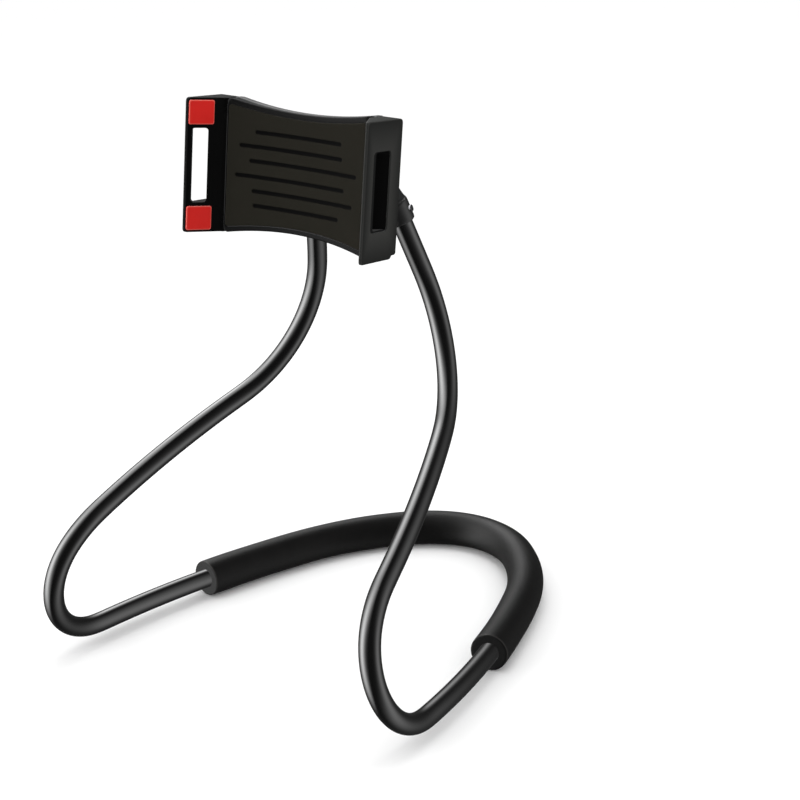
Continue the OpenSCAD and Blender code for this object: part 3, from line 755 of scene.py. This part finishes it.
def fixed_inner(y):
    """The fixed jaw's inner face: the flare down to the plate, then just inside the plate, then against the
    rear cover."""
    behind = np.where(y < SPLIT_Y + TUCK_END, BODY_X - TUCK, BODY_X)
    return np.where(y < DISH_EDGE, np.maximum(flare(y), BODY_X), behind)


JAW_GAP, JAW_FOOT_EASE = 0.3 * MM, 1.2 * MM


def sliding_inner(y):
    """The sliding jaw's inner face: the further out of the flare and the flat side that faces the plate.
    With d the flare's distance beyond the flat side, it stands (d + sqrt(d^2 + ease^2)) / 2 beyond it."""
    over = flare(y) - BODY_X - JAW_GAP
    return BODY_X + JAW_GAP + (over + np.sqrt(over**2 + JAW_FOOT_EASE**2)) / 2


# Red pads: how much shorter than the flare, half height, how far their middle is from the jaw's end, how deep
# they sit in it, corner and edge radii, and the crown as a share of what stands proud
PAD_SHORTER, PAD_HALF, PAD_FROM_END, PAD_SUNK = 14 * MM, 12.5 * MM, 15 * MM, 1.2 * MM
PAD_ROUND, PAD_EDGE, PAD_CROWN = 2 * MM, 0.9 * MM, 0.2
# How strongly the rings over a pad's edge are painted pale, as a painted highlight, and the face's rings as
# shares of its outline
PAD_HIGHLIGHT, PAD_SHARES = (0.35, 0.7, 0.8, 0.7, 0.4), (0.97, 0.8, 0.55, 0.3, 0.1)


def jaw_pad(name, mirrored, up, start, proud):
    """A red pad on the flare, from a distance behind the tip: a rounded block whose face stands proud of the
    jaw. Its crown adds PAD_CROWN of that times (1 - a^2) (1 - b^2), with a and b from -1 to 1 across it."""
    flare_a = math.atan2(JAW_FOOT - JAW_TIP, DISH_EDGE)
    along = np.array([-math.sin(flare_a), math.cos(flare_a), 0])
    out = np.array([-math.cos(flare_a), -math.sin(flare_a), 0])
    length = math.hypot(JAW_FOOT - JAW_TIP, DISH_EDGE) - PAD_SHORTER
    box = np.array([start, start + length, -PAD_HALF, PAD_HALF])
    mid = box[:2].mean()
    place = np.array([HEAD_W / 2 - JAW_TIP, 0, up * (HEAD_H / 2 - PAD_FROM_END)])

    def loop(inset, rise, share=1):
        """A ring at a height above the flare, drawn in by an inset and then to a share of its size."""
        a, b = rounded_rect(*(box - GROW * inset), PAD_ROUND).T
        a, b = mid + (a - mid) * share, b * share
        crown = PAD_CROWN * proud * (1 - ((a - mid) / (length / 2)) ** 2) * (1 - (b / PAD_HALF) ** 2)
        height = rise + crown * (rise >= proud)
        p = a[:, None] * along + b[:, None] * [0, 0, 1] + height[:, None] * out + place
        return p * [-1, 1, 1] if mirrored else p

    loops = [loop(0, -PAD_SUNK)]
    loops += [loop(PAD_EDGE * (1 - c), proud - PAD_EDGE * (1 - s)) for s, c in quarter(6)]
    loops += [loop(PAD_EDGE, proud, share) for share in PAD_SHARES]
    obj = loft(name, [to_row(p) for p in loops], flip=not mirrored, smooth_angle=40)
    # Painted highlight on the pad's rounded edge
    painted_highlight = np.zeros(len(loops))
    painted_highlight[2:7] = PAD_HIGHLIGHT
    fan_middles = 0, 0
    mark(obj, "painted_highlight", np.r_[np.repeat(painted_highlight, len(loops[0])), fan_middles])
    return obj


# Rails: thickness, height, how far their middles are from the head's, reach into the head and into the jaw,
# lead at the free end, and corner radius
RAIL_T, RAIL_H, RAIL_Z = 5.5 * MM, 12 * MM, 40 * MM
RAIL_REACH, RAIL_IN_JAW, RAIL_LEAD, RAIL_ROUND = 115 * MM, 2.5 * MM, 0.6 * MM, 1.2 * MM


def guide_rail(name, up):
    """Flat rail with rounded long edges, from inside the head to the jaw: one rounded rectangle carried
    across, drawn in a little at its free end."""
    rail_y = (SPLIT_Y + HEAD_T - WALL) / 2
    from_x, to_x = BODY_X - RAIL_REACH, BODY_X + RAIL_IN_JAW
    rail_z = up * RAIL_Z
    box = np.array([rail_y - RAIL_T / 2, rail_y + RAIL_T / 2, rail_z - RAIL_H / 2, rail_z + RAIL_H / 2])
    loops = []
    for x, inset in ((from_x, RAIL_LEAD), (from_x + RAIL_LEAD, 0), (to_x, 0)):
        y, z = rounded_rect(*(box - GROW * inset), RAIL_ROUND).T
        loops.append(np.stack([np.full_like(y, x), y, z], 1))
    return loft(name, [to_row(p) for p in loops])


# Where each jaw's window runs behind the tip, through the flared side and through the outer side
FIXED_WINDOW_IN, FIXED_WINDOW_OUT = (4.5 * MM, 20 * MM), (13 * MM, 41 * MM)
SLIDING_WINDOW_IN, SLIDING_WINDOW_OUT = (4.5 * MM, 24 * MM), (19 * MM, 41 * MM)
# Pads: where they start behind the tip and how far they stand proud; the sliding jaw's lie nearly flush
FIXED_PAD = {"start": 1 * MM, "proud": 1.2 * MM}
SLIDING_PAD = {"start": 3.5 * MM, "proud": 0.05 * MM}

plate = finish_as(front_shell(), "black_shell", "head")
finish_as(jaw("fixed_jaw", True, fixed_inner, FIXED_WINDOW_IN, FIXED_WINDOW_OUT), "black_shell", "head")
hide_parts("front_shell")
mat = finish_as(grip_mat(), "mat_rubber", "head")
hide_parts("grip_mat")
moving = jaw("sliding_jaw_shell", False, sliding_inner, SLIDING_WINDOW_IN, SLIDING_WINDOW_OUT,
             recess=True, heel=True)
finish_as(moving, "jaw_shell", "sliding_jaw")
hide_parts("sliding_jaw")
for up, where in ((1, "upper"), (-1, "lower")):
    finish_as(guide_rail("guide_rail_" + where, up), "jaw_shell", "sliding_jaw")
    fixed = finish_as(jaw_pad("fixed_pad_" + where, True, up, **FIXED_PAD), "red_pad", "head")
    sliding = finish_as(jaw_pad("sliding_pad_" + where, False, up, **SLIDING_PAD), "red_pad", "sliding_jaw")
    if where == "upper":
        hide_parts("fixed_jaw_pads")
        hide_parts("sliding_jaw_pads")


# CAD nodes that stay: their finishes, and the radius in mm to which each one's edges are rounded

NODE_FINISH = {
    "tube_ferrules": "zinc_steel", "tube_lock_screws": "black_screw", "yoke": "rear_moulding",
    "yoke_cap": "rear_moulding", "ball_stud": "zinc_steel", "stud_nut": "zinc_steel",
    "ball_seat": "nylon_liner", "ball_socket": "rear_moulding", "socket_screws": "black_screw",
    "lock_collar": "rear_moulding", "rear_cover": "rear_moulding", "cover_screws": "black_screw",
    "tension_springs": "spring_wire", "spring_pins": "zinc_steel",
}
EDGE_EASE = {
    "yoke_cap": 0.9, "ball_socket": 0.7, "lock_collar": 0.5, "rear_cover": 1.1, "tube_ferrules": 0.5,
    "tube_lock_screws": 0.4, "socket_screws": 0.25, "cover_screws": 0.25, "stud_nut": 0.4,
}
WELD_GAP = 0.002 * MM
# Degrees between faces: below the first they are one flat face, above the second their edge is rounded
FLAT_BELOW, SHARP_ABOVE = 0.5, 35


def eased_edges(obj, width):
    """Joins a CAD node's loose triangles into faces and rounds its sharp edges."""
    weld = obj.modifiers.new("joined", "WELD")
    weld.merge_threshold = WELD_GAP
    flat = obj.modifiers.new("faces", "DECIMATE")
    flat.decimate_type = "DISSOLVE"
    flat.angle_limit = math.radians(FLAT_BELOW)
    rounding = obj.modifiers.new("rounded", "BEVEL")
    rounding.limit_method = "ANGLE"
    rounding.angle_limit = math.radians(SHARP_ABOVE)
    rounding.width = width
    rounding.segments = 3
    rounding.use_clamp_overlap = True
    rounding.harden_normals = True


def blended(obj, grain, rounds):
    """Works a CAD node over as one moulding: an even skin of small faces, its edges and inner corners
    averaged out in a number of rounds."""
    weld = obj.modifiers.new("joined", "WELD")
    weld.merge_threshold = WELD_GAP
    skin = obj.modifiers.new("skin", "REMESH")
    skin.mode = "VOXEL"
    skin.voxel_size = grain
    skin.use_smooth_shade = True
    even = obj.modifiers.new("blended", "SMOOTH")
    even.factor = 0.5
    even.iterations = rounds


for node, slot_name in NODE_FINISH.items():
    coated(frame["nodes"][node], slot_name)
    if node in EDGE_EASE:
        eased_edges(frame["nodes"][node], EDGE_EASE[node] * MM)
blended(frame["nodes"]["yoke"], grain=1.1 * MM, rounds=8)


# Studio

def maths(tree, operation, *values):
    """A maths node; each value is a socket or a number."""
    node = tree.nodes.new("ShaderNodeMath")
    node.operation = operation
    for socket, value in zip(node.inputs, values):
        if isinstance(value, bpy.types.NodeSocket):
            tree.links.new(value, socket)
        else:
            socket.default_value = value
    return node.outputs[0]


def ray_colour(tree, seen, other):
    """White of two strengths: for the camera, and for everything else."""
    path = tree.nodes.new("ShaderNodeLightPath")
    return tint(tree, path.outputs["Is Camera Ray"], grey(other), grey(seen))


def floor_finish():
    """Pale floor, white to the camera wherever no shadow falls on it."""
    m, tree, shader = material("floor", grey(0.86), 0.9, 0)
    tree.links.new(ray_colour(tree, seen=1, other=0.6), shader.inputs["Base Color"])
    return m


FLOOR_HALF, FLOOR_GAP = 40.0, 0.4 * MM


def studio_floor():
    """A square floor just under the object. Reflections leave it out and show the room instead."""
    s = FLOOR_HALF
    mesh = bpy.data.meshes.new("floor")
    mesh.from_pydata([(-s, -s, 0), (s, -s, 0), (s, s, 0), (-s, s, 0)], [], [(0, 1, 2, 3)])
    obj = bpy.data.objects.new("floor", mesh)
    bpy.context.scene.collection.objects.link(obj)
    obj.location.z = cad_bounds[0][2] - FLOOR_GAP
    mesh.materials.append(floor_finish())
    obj.visible_glossy = False


# What reflections show: a wide ring of soft panels round the object, square to the line to the camera,
# bright at the left, weak at the right, and one panel behind it, high at the left
TO_CAMERA = Vector((0.533, -0.789, 0.305))
BRIGHT_SIDE = Vector((-0.85, -0.465, 0.248))
RING_AT, RING_WIDTH, RING_LEFT, LEFT_FROM, RING_RIGHT = 0.15, 0.46, 17, 0.23, 2.6
PANEL_SIDE, PANEL_BRIGHT, PANEL_SPREAD = Vector((-0.59, 0.47, 0.66)).normalized(), 12, 26
DIM = 0.08


def backdrop():
    """World light: white for the camera, even from all sides for matt surfaces, and for reflections a dim
    room with the ring and the panel. The ring falls off as exp(-((cos(angle to the camera) - RING_AT) /
    RING_WIDTH)^2). With d the cosine of the angle to BRIGHT_SIDE, its strength is RING_LEFT times what d has
    over LEFT_FROM, plus RING_RIGHT d^2 on the far side. The panel falls off as exp(PANEL_SPREAD (cos(angle
    from its middle) - 1))."""
    world = bpy.data.worlds.new("studio")
    bpy.context.scene.world = world
    world.use_nodes = True
    tree = world.node_tree
    shader = tree.nodes["Background"]
    shader.inputs["Color"].default_value = (1, 1, 1, 1)
    coord = tree.nodes.new("ShaderNodeTexCoord")

    def along(direction):
        """Cosine of the angle to a direction."""
        dot = tree.nodes.new("ShaderNodeVectorMath")
        dot.operation = "DOT_PRODUCT"
        dot.inputs[1].default_value = direction
        tree.links.new(coord.outputs["Generated"], dot.inputs[0])
        return dot.outputs["Value"]

    off = maths(tree, "MULTIPLY_ADD", along(TO_CAMERA), 1 / RING_WIDTH, -RING_AT / RING_WIDTH)
    ring = maths(tree, "EXPONENT", maths(tree, "MULTIPLY", maths(tree, "MULTIPLY", off, off), -1))
    side = along(BRIGHT_SIDE)
    toward = maths(tree, "MAXIMUM", maths(tree, "SUBTRACT", side, LEFT_FROM), 0)
    left = maths(tree, "MULTIPLY", toward, RING_LEFT)
    away = maths(tree, "MAXIMUM", maths(tree, "MULTIPLY", side, -1), 0)
    strength = maths(tree, "MULTIPLY_ADD", maths(tree, "MULTIPLY", away, away), RING_RIGHT, left)
    panel = maths(tree, "EXPONENT", maths(tree, "MULTIPLY_ADD", along(PANEL_SIDE), PANEL_SPREAD,
                                          math.log(PANEL_BRIGHT) - PANEL_SPREAD))
    room = maths(tree, "ADD", maths(tree, "MULTIPLY_ADD", ring, strength, panel), DIM)
    path = tree.nodes.new("ShaderNodeLightPath")
    reflected = tree.nodes.new("ShaderNodeMix")
    reflected.inputs["A"].default_value = 1
    tree.links.new(path.outputs["Is Glossy Ray"], reflected.inputs["Factor"])
    tree.links.new(room, reflected.inputs["B"])
    seen = tree.nodes.new("ShaderNodeMix")
    seen.inputs["B"].default_value = 1
    tree.links.new(path.outputs["Is Camera Ray"], seen.inputs["Factor"])
    tree.links.new(reflected.outputs["Result"], seen.inputs["A"])
    tree.links.new(seen.outputs["Result"], shader.inputs["Strength"])


def softbox(name, at, aim, width, height, power):
    """A rectangular area light turned to face a point. Reflections leave it out."""
    light = bpy.data.lights.new(name, "AREA")
    light.shape = "RECTANGLE"
    light.size, light.size_y = width, height
    light.energy = power
    obj = bpy.data.objects.new(name, light)
    obj.location = at
    obj.rotation_euler = (Vector(aim) - Vector(at)).to_track_quat("-Z", "Y").to_euler()
    obj.visible_glossy = False
    bpy.context.scene.collection.objects.link(obj)


studio_floor()
backdrop()
softbox("left", at=(-1.0, -1.9, 0.75), aim=(0, -0.1, 0.28), width=1.3, height=1.5, power=12)
softbox("right", at=(1.75, 1.3, 0.5), aim=(0, 0, 0.25), width=0.8, height=1.3, power=3)
softbox("above", at=(0, 0.1, 2.2), aim=(0, 0, 0.2), width=1.5, height=1.1, power=10)

# Camera where the photo was taken from
CAMERA_AT = (1.1268, -1.5718, 0.8806)
AZ, EL, ROLL = math.radians(34.04), math.radians(17.74), -0.02115
LENS_MM, SENSOR_MM, FAR = 83.49, 36, 50


def photo_camera():
    """A camera that looks from its place along the azimuth and down by the elevation, rolled a little."""
    forward = Vector((-math.sin(AZ) * math.cos(EL), math.cos(AZ) * math.cos(EL), -math.sin(EL)))
    level = Vector((math.cos(AZ), math.sin(AZ), 0))
    upward = level.cross(forward)
    right = math.cos(ROLL) * level + math.sin(ROLL) * upward
    top = -math.sin(ROLL) * level + math.cos(ROLL) * upward
    data = bpy.data.cameras.new("photo_camera")
    data.sensor_width = SENSOR_MM
    data.lens = LENS_MM
    data.clip_end = FAR
    camera = bpy.data.objects.new("photo_camera", data)
    turn = Matrix((right, top, -forward)).transposed()
    camera.matrix_world = Matrix.Translation(CAMERA_AT) @ turn.to_4x4()
    bpy.context.scene.collection.objects.link(camera)
    bpy.context.scene.camera = camera


photo_camera()
bpy.context.scene.view_settings.view_transform = "Standard"

bpy.context.view_layer.update()
